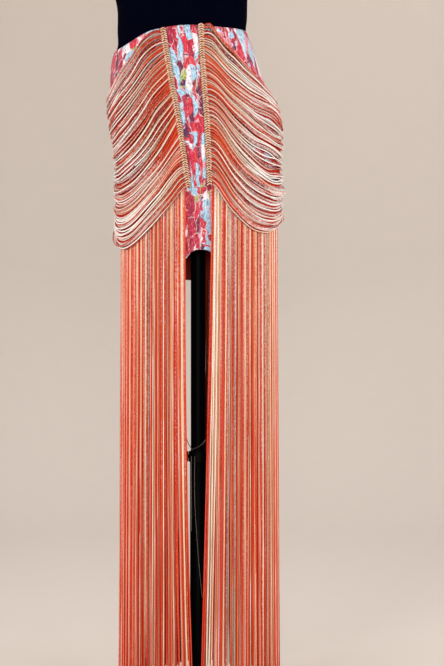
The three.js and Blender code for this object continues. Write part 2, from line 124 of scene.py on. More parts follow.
# Dyes from red (0) through cream to dark (1), and where a palette's red ones end and its
# cream ones begin and end
FRINGE_DYES = ("#b52818", "#d4391b", "#e4502a", "#ea683a", "#dc3a22", "#e2604a",
               "#c8381f", "#da4426", "#f09870", "#f0b888", "#fbe3c0", "#edc89c",
               "#fdf0da", "#d6a680", "#b88c70", "#947060")
# The last, darkest swag dyes colour the under layer, as painted shade between the yarns.
SWAG_DYES = ("#b9301b", "#d0421e", "#e25a33", "#a82a1b", "#8f2518", "#e06a3c", "#d24a28",
             "#ecc8a2", "#f8ebdc", "#dcb798", "#c09a80", "#f0d5b8", "#fdf2e6", "#d29a78",
             "#7a2a19", "#5c1d12")
FRINGE_SPLIT, SWAG_SPLIT = (0.52, 0.58, 1.0), (0.38, 0.49, 0.84)
WRAP_DYES = ("#e6bf8e", "#edcfa6", "#dea274", "#e9c496", "#d68e62", "#8a3420")


def linear(hex_colour):
    """The linear colour of a hex one, with alpha."""
    parts = [int(hex_colour[i:i + 2], 16) / 255 for i in (1, 3, 5)]
    return [c / 12.92 if c <= 0.04045 else ((c + 0.055) / 1.055) ** 2.4
            for c in parts] + [1.0]


def smooth_read(at, xs, ys):
    """A table's column at these places, on a smooth curve through its rows."""
    xs, ys = np.asarray(xs, float), np.asarray(ys, float)
    at = np.clip(np.asarray(at, float), xs[0], xs[-1])
    slope = np.gradient(ys, xs)
    i = np.clip(np.searchsorted(xs, at) - 1, 0, len(xs) - 2)
    span = xs[i + 1] - xs[i]
    t = (at - xs[i]) / span
    return (ys[i] * (1 + 2 * t) * (1 - t) ** 2 + ys[i + 1] * t * t * (3 - 2 * t)
            + span * (slope[i] * t * (1 - t) ** 2 - slope[i + 1] * t * t * (1 - t)))


def smoothstep(x, low, high):
    t = np.clip((np.asarray(x, float) - low) / (high - low), 0, 1)
    return t * t * (3 - 2 * t)


def on_form(down, turn, out, rigid=False):
    """Points on the leaning form. turn is in radians round from the centre front,
    positive to +X, and out is the distance off the surface."""
    down, turn, out = np.broadcast_arrays(np.asarray(down, float), turn, out)
    at = down if rigid else np.minimum(down, SEAT_DOWN)
    wide, skew, front, back = (smooth_read(at, FORM["down"], FORM[k])
                               for k in ("wide", "skew", "front", "back"))
    sine, cosine = np.sin(turn), np.cos(turn)
    wide = wide - np.sign(sine) * skew
    depth = np.where(cosine > 0, front, back)
    nx, ny = sine / wide, -cosine / depth
    size = np.hypot(nx, ny)
    x = wide * sine + out * nx / size
    y = -depth * cosine + out * ny / size
    rise = SEAT_DOWN - down
    along = rise if rigid else np.maximum(rise, 0)
    return np.stack([SEAT_X + x * math.cos(LEAN) - along * math.sin(LEAN), y,
                     SEAT_Z + x * math.sin(LEAN) + along * math.cos(LEAN)
                     + rise - along], axis=-1)


def turn_at(down, offset):
    """The turn at which the form's surface is this far to one side of its middle."""
    wide = smooth_read(np.minimum(down, SEAT_DOWN), FORM["down"], FORM["wide"])
    return np.arcsin(np.asarray(offset) / wide)


def centre_half(down):
    """Half of the centre panel's width at a height above the seat."""
    t = np.clip(np.asarray(down, float) / SEAT_DOWN, 0, 1)
    return SEAM_TOP + (SEAM_LOW - SEAM_TOP) * t


def waves(rng, count, at, length, size):
    """Soft unevenness along each of many yarns: a few sines of random phase."""
    total = np.zeros((count, at.shape[-1]))
    for share in (1.0, 0.47, 0.23):
        phase = rng.uniform(0, 2 * math.pi, (count, 1))
        scale = rng.uniform(0.4, 1.0, (count, 1)) * share
        total = total + scale * np.sin(2 * math.pi * at / (length * share) + phase)
    return size * total


def red_or_cream(rng, count, split, red_share, run=1):
    """A dye for each of many yarns. Runs of so many mostly take turns between red and
    cream."""
    reds_end, creams_start, creams_end = split
    turn = np.arange(count) // run % 2 == 0
    red = np.where(rng.uniform(size=count) < 0.2, rng.uniform(size=count) < 0.5, turn)
    red = red | (rng.uniform(size=count) < 2 * red_share - 1)
    return np.where(red, rng.uniform(0, reds_end, count),
                    rng.uniform(creams_start, creams_end, count))


# Meshes


def linked(name, data):
    """A new object in the scene."""
    made = bpy.data.objects.new(name, data)
    bpy.context.scene.collection.objects.link(made)
    return made


def new_piece(name, mesh, materials, body, node=None):
    """Links a finished mesh as a piece that rides on a body."""
    piece = linked(name, mesh)
    for material in materials:
        mesh.materials.append(material)
    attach(piece, body)
    if node:
        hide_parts(node)
    return piece


def mesh_from(bm, name, sharp=35):
    mesh = bpy.data.meshes.new(name)
    bm.to_mesh(mesh)
    bm.free()
    mesh.shade_smooth()
    mesh.set_sharp_from_angle(angle=math.radians(sharp))
    return mesh


def unit(vectors):
    return vectors / np.maximum(np.linalg.norm(vectors, axis=-1, keepdims=True), 1e-9)


def yarn_bundle(paths, radius, dye, beside, pale=0.0, flat=1.0, sides=5):
    """Yarns of one kind as arrays: paths is (yarns, points, 3) in millimetres, beside a
    way that no path runs in, across which a flat yarn is widest, and pale how far the
    colour is mixed towards a pale one: faded dye, and on the swags' sides partly a
    painted highlight."""
    paths = np.asarray(paths, float)
    count, points = paths.shape[:2]
    ahead = unit(np.gradient(paths, axis=1))
    beside = np.broadcast_to(np.asarray(beside, float), paths.shape)
    beside = unit(beside - (beside * ahead).sum(-1, keepdims=True) * ahead)
    above = np.cross(ahead, beside)
    angle = np.arange(sides) / sides * 2 * math.pi
    radius = np.broadcast_to(np.asarray(radius, float), (count, points))
    ring = (np.cos(angle)[:, None] * beside[:, :, None]
            + flat * np.sin(angle)[:, None] * above[:, :, None])
    verts = paths[:, :, None] + radius[:, :, None, None] * ring
    along = np.concatenate([np.zeros((count, 1)), np.cumsum(
        np.linalg.norm(np.diff(paths, axis=1), axis=-1), axis=1)], axis=1)
    return {"verts": verts.reshape(-1, 3), "count": count, "points": points,
            "sides": sides, "along": along,
            "dye": np.repeat(np.broadcast_to(dye, (count, points)).ravel(), sides),
            "pale": np.repeat(np.broadcast_to(pale, (count, points)).ravel(), sides)}


def yarn_mesh(name, bundles):
    """One mesh of many yarns, made from arrays, as there are hundreds alike. Its UV map
    runs round each yarn and along it, and its dye and pale attributes set the colour."""
    verts, loops, sizes, uvs = [], [], [], []
    first = 0
    for b in bundles:
        count, points, sides = b["count"], b["points"], b["sides"]
        index = first + np.arange(count * points * sides).reshape(count, points, sides)
        turned = np.roll(index, -1, axis=2)
        quads = np.stack([index[:, :-1], turned[:, :-1], turned[:, 1:], index[:, 1:]],
                         axis=-1)
        round_ = np.broadcast_to(np.arange(sides) / sides, (count, points - 1, sides))
        low = np.broadcast_to(b["along"][:, :-1, None], round_.shape)
        high = np.broadcast_to(b["along"][:, 1:, None], round_.shape)
        step = 1 / sides
        uv = np.stack([np.stack([round_ + on, at], -1) for on, at in (
            (0, low), (step, low), (step, high), (0, high))], axis=-2)
        caps = np.concatenate([index[:, 0, ::-1], index[:, -1]])
        loops += [quads.ravel(), caps.ravel()]
        uvs += [uv.reshape(-1, 2), np.zeros((caps.size, 2))]
        sizes += [np.full(quads.size // 4, 4), np.full(2 * count, sides)]
        verts.append(b["verts"])
        first += count * points * sides
    verts, loops = np.concatenate(verts) * MM, np.concatenate(loops)
    sizes = np.concatenate(sizes)
    mesh = bpy.data.meshes.new(name)
    mesh.vertices.add(len(verts))
    mesh.vertices.foreach_set("co", verts.ravel())
    mesh.loops.add(len(loops))
    mesh.loops.foreach_set("vertex_index", loops.astype(np.int32))
    mesh.polygons.add(len(sizes))
    starts = np.concatenate([[0], np.cumsum(sizes)[:-1]])
    mesh.polygons.foreach_set("loop_start", starts.astype(np.int32))
    twist = mesh.uv_layers.new(name="twist")
    twist.uv.foreach_set("vector", (np.concatenate(uvs) * (1, MM)).ravel())
    for key in ("dye", "pale"):
        mesh.attributes.new(key, "FLOAT", "POINT").data.foreach_set(
            "value", np.concatenate([b[key] for b in bundles]).astype(np.float32))
    mesh.update(calc_edges=True)
    mesh.shade_smooth()
    return mesh


def new_yarns(name, bundles, material, node=None, body="form"):
    new_piece(name, yarn_mesh(name, bundles), [material], body, node)


def sheet_mesh(name, points, cut=None, closed=False, sharp=35):
    """A sheet whose rows and columns of points, in millimetres, are given. Where it is
    closed, its last column meets its first, and its ends are filled."""
    rows, columns = points.shape[:2]
    bm = bmesh.new()
    bmesh.ops.create_grid(bm, x_segments=columns - 1, y_segments=rows - 1, size=0.5)
    bm.verts.index_update()
    bm.faces.ensure_lookup_table()
    place = {}
    for vert in bm.verts:
        row = round((0.5 - vert.co.y) * (rows - 1))
        column = round((vert.co.x + 0.5) * (columns - 1))
        place[vert.index] = (row, column)
        vert.co = points[row, column] * MM
    if cut is not None:
        layer = bm.loops.layers.uv.new("cut")
        for face in bm.faces:
            for loop in face.loops:
                loop[layer].uv = cut[place[loop.vert.index]] * MM
    if closed:
        bmesh.ops.remove_doubles(bm, verts=bm.verts, dist=1e-6)
        bmesh.ops.holes_fill(bm, edges=[e for e in bm.edges if e.is_boundary], sides=0)
        bmesh.ops.recalc_face_normals(bm, faces=bm.faces)
    else:
        bm.normal_update()
        middle = bm.faces[len(bm.faces) // 2]
        away = middle.calc_center_median() - Vector((SEAT_X * MM, 0, 0))
        if middle.normal.dot(Vector((away.x, away.y, 0))) < 0:
            bmesh.ops.reverse_faces(bm, faces=bm.faces)
    return mesh_from(bm, name, sharp)


def turned_mesh(name, profile, inward=False):
    """A profile of [radius, height] rows in millimetres spun about the Z axis, with its
    faces turned inward where it is seen from inside."""
    bm = bmesh.new()
    verts = [bm.verts.new((r * MM, 0, z * MM)) for r, z in profile]
    edges = [bm.edges.new(pair) for pair in zip(verts, verts[1:])]
    bmesh.ops.spin(bm, geom=verts + edges, cent=(0, 0, 0), axis=(0, 0, 1),
                   angle=2 * math.pi, steps=96, use_merge=True, use_duplicate=False)
    bmesh.ops.remove_doubles(bm, verts=bm.verts, dist=1e-6)
    bmesh.ops.recalc_face_normals(bm, faces=bm.faces)
    if inward:
        bmesh.ops.reverse_faces(bm, faces=bm.faces)
    return mesh_from(bm, name, 40)


# Materials


def add(tree, kind, inputs=None, **settings):
    """A node with its settings, and its inputs linked to sockets or given numbers."""
    node = tree.nodes.new(kind)
    for key, value in settings.items():
        setattr(node, key, value)
    for key, value in (inputs or {}).items():
        if isinstance(value, bpy.types.NodeSocket):
            tree.links.new(value, node.inputs[key])
        else:
            node.inputs[key].default_value = value
    return node


def maths(tree, operation, *values, clamp=False):
    node = add(tree, "ShaderNodeMath", dict(enumerate(values)), operation=operation,
               use_clamp=clamp)
    return node.outputs[0]


def mix(tree, factor, low, high, blend="MIX"):
    node = add(tree, "ShaderNodeMix", {0: factor, 6: low, 7: high}, data_type="RGBA",
               blend_type=blend)
    return node.outputs[2]


def spread(tree, value, low, high, to_low, to_high):
    """A value from low to high spread from to_low to to_high, and held to them."""
    return add(tree, "ShaderNodeMapRange", dict(enumerate(
        (value, low, high, to_low, to_high)))).outputs[0]


def stretched(tree, vector, scale, turn=0.0):
    return add(tree, "ShaderNodeMapping", {"Vector": vector, "Scale": (*scale, 1.0),
                                           "Rotation": (0, 0, turn)}).outputs[0]


def dyes(tree, factor, colours, interpolation="CONSTANT"):
    """A colour picked out of a list by a factor from 0 to 1."""
    node = add(tree, "ShaderNodeValToRGB", {0: factor})
    ramp = node.color_ramp
    ramp.interpolation = interpolation
    step = 1 / len(colours) if interpolation == "CONSTANT" else 1 / (len(colours) - 1)
    for i, colour in enumerate(colours):
        stop = ramp.elements[i] if i < 2 else ramp.elements.new(i * step)
        stop.position = i * step
        stop.color = linear(colour) if isinstance(colour, str) else colour
    return node.outputs["Color"]


def noise(tree, vector, scale, detail=2.0, rough=0.5, output="Fac"):
    node = add(tree, "ShaderNodeTexNoise", {"Vector": vector, "Scale": scale,
                                            "Detail": detail, "Roughness": rough})
    return node.outputs[output]


def new_group(name, inputs, outputs):
    """An empty shader node group: its tree, what it is given and what it puts out."""
    tree = bpy.data.node_groups.new(name, "ShaderNodeTree")
    for way, keys in (("INPUT", inputs), ("OUTPUT", outputs)):
        for key in keys:
            socket = tree.interface.new_socket(key, in_out=way,
                                               socket_type="NodeSocketFloat")
            if way == "INPUT":
                socket.default_value = inputs[key]
    return tree, tree.nodes.new("NodeGroupInput").outputs, tree.nodes.new(
        "NodeGroupOutput").inputs


def place_group(tree, name, **inputs):
    return add(tree, "ShaderNodeGroup", inputs,
               node_tree=bpy.data.node_groups[name]).outputs


def uv_parts(tree, uv_map):
    """A point's place in a UV map, whole and as its two parts."""
    at = add(tree, "ShaderNodeUVMap", uv_map=uv_map).outputs[0]
    return at, *add(tree, "ShaderNodeSeparateXYZ", {0: at}).outputs[:2]


def twisted_plies_group():
    """Twisted plies on a yarn: how high the surface stands, where it is flecked, and a
    slow drift along it."""
    tree, given, put = new_group(
        "twisted_plies", {"Pitch": 0.004, "Plies": 2.0, "Own": 0.0},
        ("Height", "Fleck", "Drift"))
    _, round_, along = uv_parts(tree, "twist")
    turns = maths(tree, "MULTIPLY", round_, given["Plies"])
    pitches = maths(tree, "DIVIDE", along, given["Pitch"])
    own = maths(tree, "MULTIPLY", given["Own"], 37.0)
    phase = maths(tree, "ADD", maths(tree, "ADD", turns, pitches), own)
    wave = maths(tree, "SINE", maths(tree, "MULTIPLY", phase, 2 * math.pi))
    ply = maths(tree, "POWER", maths(tree, "MULTIPLY_ADD", wave, 0.5, 0.5), 0.6)
    spot = add(tree, "ShaderNodeCombineXYZ", {0: own, 1: along}).outputs[0]
    fleck = maths(tree, "MULTIPLY_ADD", noise(tree, spot, 240.0, 1.0), 4.0, -1.6,
                  clamp=True)
    height = maths(tree, "MULTIPLY_ADD", noise(tree, spot, 900.0, 2.0), 0.35, ply)
    far = add(tree, "ShaderNodeCombineXYZ", {
        0: maths(tree, "MULTIPLY", given["Own"], 700.0), 1: along}).outputs[0]
    for key, value in (("Fleck", fleck), ("Height", height),
                       ("Drift", noise(tree, far, 7.0, 1.0))):
        tree.links.new(value, put[key])


def weave_group():
    """A plain weave on cloth: the height of its threads and their uneven tone."""
    tree, given, put = new_group("plain_weave", {"Thread": 0.0006}, ("Height", "Tone"))
    cut, *parts = uv_parts(tree, "cut")
    threads = [maths(tree, "SINE", maths(tree, "DIVIDE", maths(
        tree, "MULTIPLY", part, math.pi), given["Thread"])) for part in parts]
    crossed = maths(tree, "MULTIPLY", *threads)
    tree.links.new(maths(tree, "MULTIPLY_ADD", crossed, 0.5, 0.5), put["Height"])
    tree.links.new(noise(tree, cut, 420.0, 3.0), put["Tone"])


def grain_group():
    """Fine grain in an object's own space: a height, and a broad change of tone."""
    tree, given, put = new_group("fine_grain", {"Size": 0.001}, ("Height", "Tone"))
    at = add(tree, "ShaderNodeTexCoord").outputs["Object"]
    scale = maths(tree, "DIVIDE", 1.0, given["Size"])
    tree.links.new(noise(tree, at, scale, 3.0), put["Height"])
    tree.links.new(noise(tree, at, 14.0, 4.0), put["Tone"])


def new_material(name, **values):
    material = bpy.data.materials.new(name)
    material.use_nodes = True
    shader = material.node_tree.nodes["Principled BSDF"]
    for key, value in values.items():
        shader.inputs[key.replace("_", " ")].default_value = value
    return material, material.node_tree, shader


def set_surface(tree, shader, colour, height, distance, strength=1.0):
    """Gives a shader its colour and the bumps that a height makes."""
    node = add(tree, "ShaderNodeBump", {"Height": height, "Distance": distance,
                                        "Strength": strength})
    tree.links.new(colour, shader.inputs["Base Color"])
    tree.links.new(node.outputs[0], shader.inputs["Normal"])


def yarn_material(name, colours, pitch, fleck=0.3, pale_colour="#fffaf4"):
    """Two plies twisted together, whose dye drifts along the yarn, with painted shade
    darkening the grooves between the plies.
    Where pale is below nought, the dye is a deeper red."""
    material, tree, shader = new_material(name, Roughness=0.85, Specular_IOR_Level=0.12)
    dye, pale = (add(tree, "ShaderNodeAttribute", attribute_name=key).outputs["Fac"]
                 for key in ("dye", "pale"))
    twist = place_group(tree, "twisted_plies", Pitch=pitch, Own=dye)
    moved = maths(tree, "MULTIPLY_ADD", twist["Drift"], 0.24, maths(
        tree, "SUBTRACT", dye, 0.12))
    colour = dyes(tree, moved, colours, "LINEAR")
    deep = maths(tree, "MULTIPLY", pale, -1.0, clamp=True)
    colour = mix(tree, deep, colour, linear("#d5331b"))
    faded = maths(tree, "MULTIPLY_ADD", twist["Fleck"], fleck, pale, clamp=True)
    colour = mix(tree, faded, colour, linear(pale_colour))
    # Painted shade: the colour darkens down to 0.22 of itself in the grooves between the
    # plies.
    painted_groove_shade = spread(tree, twist["Height"], 0.05, 0.95, 0.22, 1.0)
    colour = mix(tree, 1.0, colour, painted_groove_shade, "MULTIPLY")
    set_surface(tree, shader, colour, twist["Height"], 0.0007)
    return material


def print_material(colours):
    """A loose print: upright patches of flat colour, paler on the side and back panels,
    with smaller shapes in a few, pale lines round some, and brushed strokes."""
    material, tree, shader = new_material("printed_cotton", Roughness=0.75,
                                          Sheen_Weight=0.1, Specular_IOR_Level=0.2)
    cut, across, _ = uv_parts(tree, "cut")

    def moved(operation, *vectors):
        return add(tree, "ShaderNodeVectorMath", dict(enumerate(vectors)),
                   operation=operation).outputs[0]

    def patches(vector, scale, feature="F1"):
        return add(tree, "ShaderNodeTexVoronoi", {"Vector": vector, "Scale": scale},
                   feature=feature)

    def picked(cells):
        split = add(tree, "ShaderNodeSeparateColor", {0: cells.outputs["Color"]})
        return split.outputs[0], split.outputs[1]

    drift = moved("SUBTRACT", noise(tree, cut, 34.0, 3.0, 0.55, "Color"), [0.5] * 3)
    warped = moved("ADD", cut, moved("MULTIPLY", drift, [0.032] * 3))
    broad = stretched(tree, warped, (1.9, 1.0))
    large, chance = picked(patches(broad, 23.0))
    small, rare = picked(patches(warped, 74.0))
    region = noise(tree, cut, 9.0, 1.0)
    chosen = maths(tree, "MULTIPLY_ADD", large, 0.66, maths(
        tree, "MULTIPLY", region, 0.38), clamp=True)
    aside = maths(tree, "GREATER_THAN", maths(tree, "ABSOLUTE", across), 0.25)
    chosen = maths(tree, "MULTIPLY_ADD", chosen, maths(
        tree, "MULTIPLY_ADD", aside, -0.12, 0.82), maths(
        tree, "MULTIPLY_ADD", aside, -0.14, 0.14))
    colour = dyes(tree, chosen, colours)
    inside = maths(tree, "GREATER_THAN", chance, 0.68)
    shown = maths(tree, "MULTIPLY", inside, maths(tree, "GREATER_THAN", rare, 0.62))
    colour = mix(tree, shown, colour, dyes(tree, small, colours[::-1]))
    edge = patches(broad, 23.0, "DISTANCE_TO_EDGE").outputs["Distance"]
    thin = maths(tree, "LESS_THAN", edge, maths(tree, "MULTIPLY", region, 0.06))
    colour = mix(tree, maths(tree, "MULTIPLY", thin, 0.5), colour, linear("#ead9dc"))
    hair = noise(tree, stretched(tree, warped, (5.0, 1.0), 0.6), 130.0, 3.0)
    for low, high, strength, paint in ((0.55, 0.66, 0.28, "#eed6da"),
                                       (0.5, 0.38, 0.7, "#611a36")):
        stroke = spread(tree, hair, low, high, 0.0, strength)
        colour = mix(tree, stroke, colour, linear(paint))
    weave = place_group(tree, "plain_weave", Thread=0.0006)
    toned = spread(tree, weave["Tone"], 0.0, 1.0, 0.7, 0.98)
    colour = mix(tree, 1.0, colour, toned, "MULTIPLY")
    set_surface(tree, shader, colour, weave["Height"], 0.00012, 0.7)
    return material


def inside_material():
    """The cloth's inner side, in the shade of the skirt, in a plain red darker than its
    print: painted shade.
    """
    material, tree, shader = new_material("cloth_inside", Roughness=0.85,
                                          Specular_IOR_Level=0.1)
    weave = place_group(tree, "plain_weave", Thread=0.0006)
    # Painted shade: a plain dark red in place of the print's paler inner side.
    tone = mix(tree, weave["Tone"], linear("#a62c24"), linear("#bd5040"))
    set_surface(tree, shader, tone, weave["Height"], 0.00012, 0.7)
    return material


def grained_material(name, colour, lighter, grain, depth, **values):
    """A finish of one colour whose tone drifts, with fine grain of its own size."""
    material, tree, shader = new_material(name, **values)
    fine = place_group(tree, "fine_grain", Size=grain)
    tone = mix(tree, fine["Tone"], colour, lighter)
    set_surface(tree, shader, tone, fine["Height"], depth)
    return material


# Where the yarns run


def swag_paths(name, share, way, lift, sag):
    """Yarns that sag round a side from its front heading (way 0) to its back one (way 1).
    share is each one's place down the headings, lift its distance off the others and sag
    how much lower than its neighbours it hangs."""
    for side, middle, turned, opening, long in PARTINGS:
        if side == name:
            beside = (share - middle) / long
            close = np.exp(-beside ** 2 / 2 - ((way - turned) / 0.09) ** 2)
            share = share + opening * np.tanh(beside * 4) * close
    root = SWAG_FIRST + SWAG_RUN * share
    start = turn_at(root, centre_half(root))
    turn = start + (math.pi - turn_at(root, BACK_OFFSET) - start) * way
    drop = 0
    for i, column in enumerate(SWAG_DROP[name]):
        weight = np.interp(share, SWAG_SHARES, np.arange(len(SWAG_SHARES)) == i)
        drop = drop + weight * smooth_read(way, SWAG_WAY, column)
    freed = smoothstep(np.minimum(way, 1 - way), 0, 0.035)
    down = root + drop + sag * np.sin(math.pi * way) ** 2
    low = smoothstep(down, 268, 312)
    aside = np.sin(turn) ** 2 * smoothstep(down, 150, 330)
    off = 4.2 + (1.6 + 5.2 * low + lift) * freed + SWAG_LOOSE[name] * aside
    return on_form(down, SIDES[name] * turn, off)


def fringe_paths(name, share, along, off, wander):
    """Strands that hang plumb round a side. share is each one's place round the curtain,
    along runs from its root to its tip, and wander sways it sideways and outwards."""
    side, first = SIDES[name], turn_at(SEAT_DOWN, FRINGE_FRONT[name])
    last = math.pi - turn_at(SEAT_DOWN, FRINGE_BACK[name])
    turn = first + (last - first) * share - math.radians(4.5) * np.sin(
        2 * math.pi * share)
    turn = turn + wander[0] / FRINGE_ROUND
    top = on_form(FRINGE_TOP, side * turn, off + wander[1])
    near = np.exp((np.abs(2 * share - 1) - 1) / 0.15)
    reach, late = FRINGE_SWAY[name]
    top[..., 0] -= side * reach * near * along ** late
    return top


def heading_path(name, back, down, local, off):
    """Points on one of a side's two headings, local across it and away from the middle."""
    if back:
        turn = math.pi - turn_at(down, BACK_OFFSET + local)
    else:
        turn = turn_at(down, centre_half(down) + local)
    return on_form(down, SIDES[name] * turn, off)


def outwards(points):
    """Level ways out from the form's middle."""
    return unit((points - (SEAT_X, 0, 0)) * (1, 1, 0))


def bulge(way):
    """How far round a swag is towards the side, from 0 at the headings to 1."""
    return smoothstep(way, 0.06, 0.36) * (1 - smoothstep(way, 0.62, 0.95))


# Settings


class SkirtSizes(bpy.types.PropertyGroup):
    """Counts and sizes of the yarns"""
    swag_loops: IntProperty(name="Loops in a side's swags", default=76, min=20,
                            description="How many loops of yarn a side's swags have")
    swag_yarn: FloatProperty(name="Swag yarn radius", default=0.0013, unit="LENGTH",
                             description="Half of a swag yarn's thickness", precision=5)
    fringe_strands: IntProperty(name="Strands in a layer", default=150, min=30,
                                description="Strands in one of a side's two layers")
    fringe_yarn: FloatProperty(name="Fringe yarn radius", default=0.00125, unit="LENGTH",
                               description="Half of a fringe strand's thickness",
                               precision=5)
    tip_height: FloatProperty(name="Height of the tips", default=0.046, unit="LENGTH",
                              description="How far above the floor the fringe ends")
    heading_wraps: IntProperty(name="Wraps in a heading", default=68, min=20,
                               description="Wraps in each of a heading's two columns")


class SkirtColours(bpy.types.PropertyGroup):
    """Colours that are the same all over a finish"""
    jersey: FloatVectorProperty(name="Jersey", subtype="COLOR", size=4, min=0, max=1,
                                default=(0.0003, 0.0004, 0.0028, 1),
                                description="Colour of the form's cover")
    metal: FloatVectorProperty(name="Stand", subtype="COLOR", size=4, min=0, max=1,
                               default=(0.0005, 0.0005, 0.0006, 1),
                               description="Colour of the painted stand")
    backdrop: FloatVectorProperty(name="Backdrop", subtype="COLOR", size=4, min=0, max=1,
                                  default=(0.62, 0.557, 0.503, 1),
                                  description="Colour of the floor and backdrop")


# Pieces


class SKIRT_OT_form(bpy.types.Operator):
    """Make the smooth limbless form in its jersey cover"""
    bl_idname = "skirt.form"
    bl_label = "Dress form"

    def execute(self, context):
        columns = 97
        turn = np.linspace(-math.pi, math.pi, columns)
        downs = np.concatenate([[-452], np.linspace(-448, 334, 120)])
        skin = on_form(downs[:, None], turn[None], 0.0, rigid=True)
        middle = skin[-1].mean(axis=0)

        def ring(radius, z, share):
            flat = np.stack([radius * np.sin(turn), -radius * np.cos(turn)], axis=-1)
            level = skin[-1, :, 2] + (middle[2] - skin[-1, :, 2]) * share
            return np.concatenate([flat, (level + z)[:, None]], axis=-1)

        under = [skin[-1] + (middle - skin[-1]) * 0.05, ring(15.9, 0, 1), ring(15.1, 1, 1)]
        socket = ring(15.1, 0, 1)
        socket[:, 2] = 1090.4
        points = np.concatenate([skin, under, [socket]])
        jersey = grained_material("black_jersey", context.scene.skirt_colours.jersey,
                                  (0.0005, 0.0007, 0.0042, 1), 0.0011, 0.0002,
                                  Roughness=0.9, Specular_IOR_Level=0.01)
        new_piece("form_cover", sheet_mesh("form_cover", points, closed=True, sharp=40),
                  [jersey], "form", "torso")
        return {"FINISHED"}


class SKIRT_OT_stand(bpy.types.Operator):
    """Make the round base, the two tubes, the clamp and its knob, and the loose threads"""
    bl_idname = "skirt.stand"
    bl_label = "Stand"

    def execute(self, context):
        paint = context.scene.skirt_colours.metal
        coat = grained_material("black_powder_coat", paint, (0.0015, 0.0015, 0.0018, 1),
                                0.0006, 0.00006, Roughness=0.5, Specular_IOR_Level=0.15)
        tube = grained_material("black_enamel", paint, (0.0011, 0.0011, 0.0013, 1), 0.002,
                                0.00002, Roughness=0.5, Specular_IOR_Level=0.04)
        moulded = grained_material("moulded_black", paint, (0.0015, 0.0015, 0.0015, 1),
                                   0.0008, 0.00008, Roughness=0.6,
                                   Specular_IOR_Level=0.08)
        base = [[0, 0], [223, 0], [224.4, 0.5], [225, 1.4], [225, 3.6], [224.4, 4.5],
                [223, 5], [35, 7], [29, 8.6], [26.4, 11], [25, 15], [23.2, 35],
                [22.4, 36], [16.9, 36], [16.4, 35.4], [16.4, 5], [0, 5]]
        pieces = [
            ("stand_base", base, coat, "stand", "base_plate", "base"),
            ("lower_tube", [[14.9, 5.3], [16, 5.3], [16, 494], [15.7, 494.4],
                            [15.2, 494.4], [14.9, 494], [14.9, 5.3]],
             tube, "stand", "pole_lower", "pole"),
            ("upper_tube", [[12.9, 300], [14.5, 300], [14.5, 1089.4], [13.9, 1090],
                            [13.3, 1090], [12.9, 1089.4], [12.9, 300]],
             tube, "riser", "pole_upper", "pole"),
            ("clamp_ring", [[16.4, 479.5], [17.8, 479.5], [18.6, 480.3], [18.6, 499.7],
                            [17.8, 500.5], [15.4, 500.5], [14.9, 500], [14.9, 494.9],
                            [16.4, 494.9], [16.4, 479.5]],
             moulded, "stand", "clamp_collar", "collar"),
        ]
        for name, profile, material, body, node, slot in pieces:
            new_piece(name, turned_mesh(name, profile), [material], body, node)
        self.make_knob(moulded)
        self.make_threads()
        return {"FINISHED"}

    def make_knob(self, material):
        """A head with six lobes, rounded at its rims, on a stem into the clamp."""
        bm = bmesh.new()
        bmesh.ops.create_circle(bm, cap_ends=True, radius=KNOB_RADIUS * MM,
                                segments=72)
        for vert in bm.verts:
            angle = math.atan2(vert.co.y, vert.co.x)
            vert.co *= 1 - 0.125 * (0.5 - 0.5 * math.cos(6 * angle))
            vert.co.z = KNOB_IN * MM
        face = bmesh.ops.extrude_face_region(bm, geom=bm.faces[:])["geom"]
        tops = [v for v in face if isinstance(v, bmesh.types.BMVert)]
        bmesh.ops.translate(bm, verts=tops, vec=(0, 0, KNOB_THICK * MM))
        rims = [e for e in bm.edges if len({round(v.co.z, 6) for v in e.verts}) == 1]
        bmesh.ops.bevel(bm, geom=rims, offset=1.6 * MM, segments=4, profile=0.5,
                        affect="EDGES", material=-1)
        bmesh.ops.create_cone(bm, cap_ends=True, segments=24, radius1=3 * MM,
                              radius2=3 * MM, depth=6 * MM,
                              matrix=Matrix.Translation((0, 0, 19.4 * MM)))
        bmesh.ops.recalc_face_normals(bm, faces=bm.faces)
        aside = Matrix.Translation((0, 0, CLAMP_Z * MM)) @ Matrix.Rotation(
            -math.pi / 2, 4, "Y")
        bmesh.ops.transform(bm, matrix=aside, verts=bm.verts)
        new_piece("clamp_knob_head", mesh_from(bm, "clamp_knob_head", 40), [material],
                  "knob", "clamp_knob")

    def make_threads(self):
        """Stray ends of yarn: two that hang from the clamp and two from the fringe."""
        material = yarn_material("stray_thread", ("#8d7a72", "#a08f86"), 0.002)
        stray = {
            "clamp_threads": ("stand", [
                [(-6.4, -18.6, 492), (-6, -18.4, 400), (1.2, -17, 290), (8.4, -16.4, 214)],
                [(-13, -14.6, 492), (-13.2, -15.4, 440), (-12.6, -15, 390),
                 (-13, -14.6, 344)]]),
            "fringe_threads": ("form", [
                [(-23, -97, 543), (-18, -70, 524), (-13, -40, 511), (-9.8, -20, 504)],
                [(16, -97, 531), (9, -72, 521), (-1, -42, 512), (-9.4, -20.4, 507)]]),
        }
        for name, (body, routes) in stray.items():
            at = np.linspace(0, 3, 19)
            paths = np.stack([np.stack([smooth_read(at, range(4), [p[i] for p in route])
                                        for i in range(3)], -1) for route in routes])
            bundle = yarn_bundle(paths, 0.75, np.array([[0.2], [0.7]]), (0.3, 1, 0.1))
            new_yarns(name, [bundle], material, body=body)


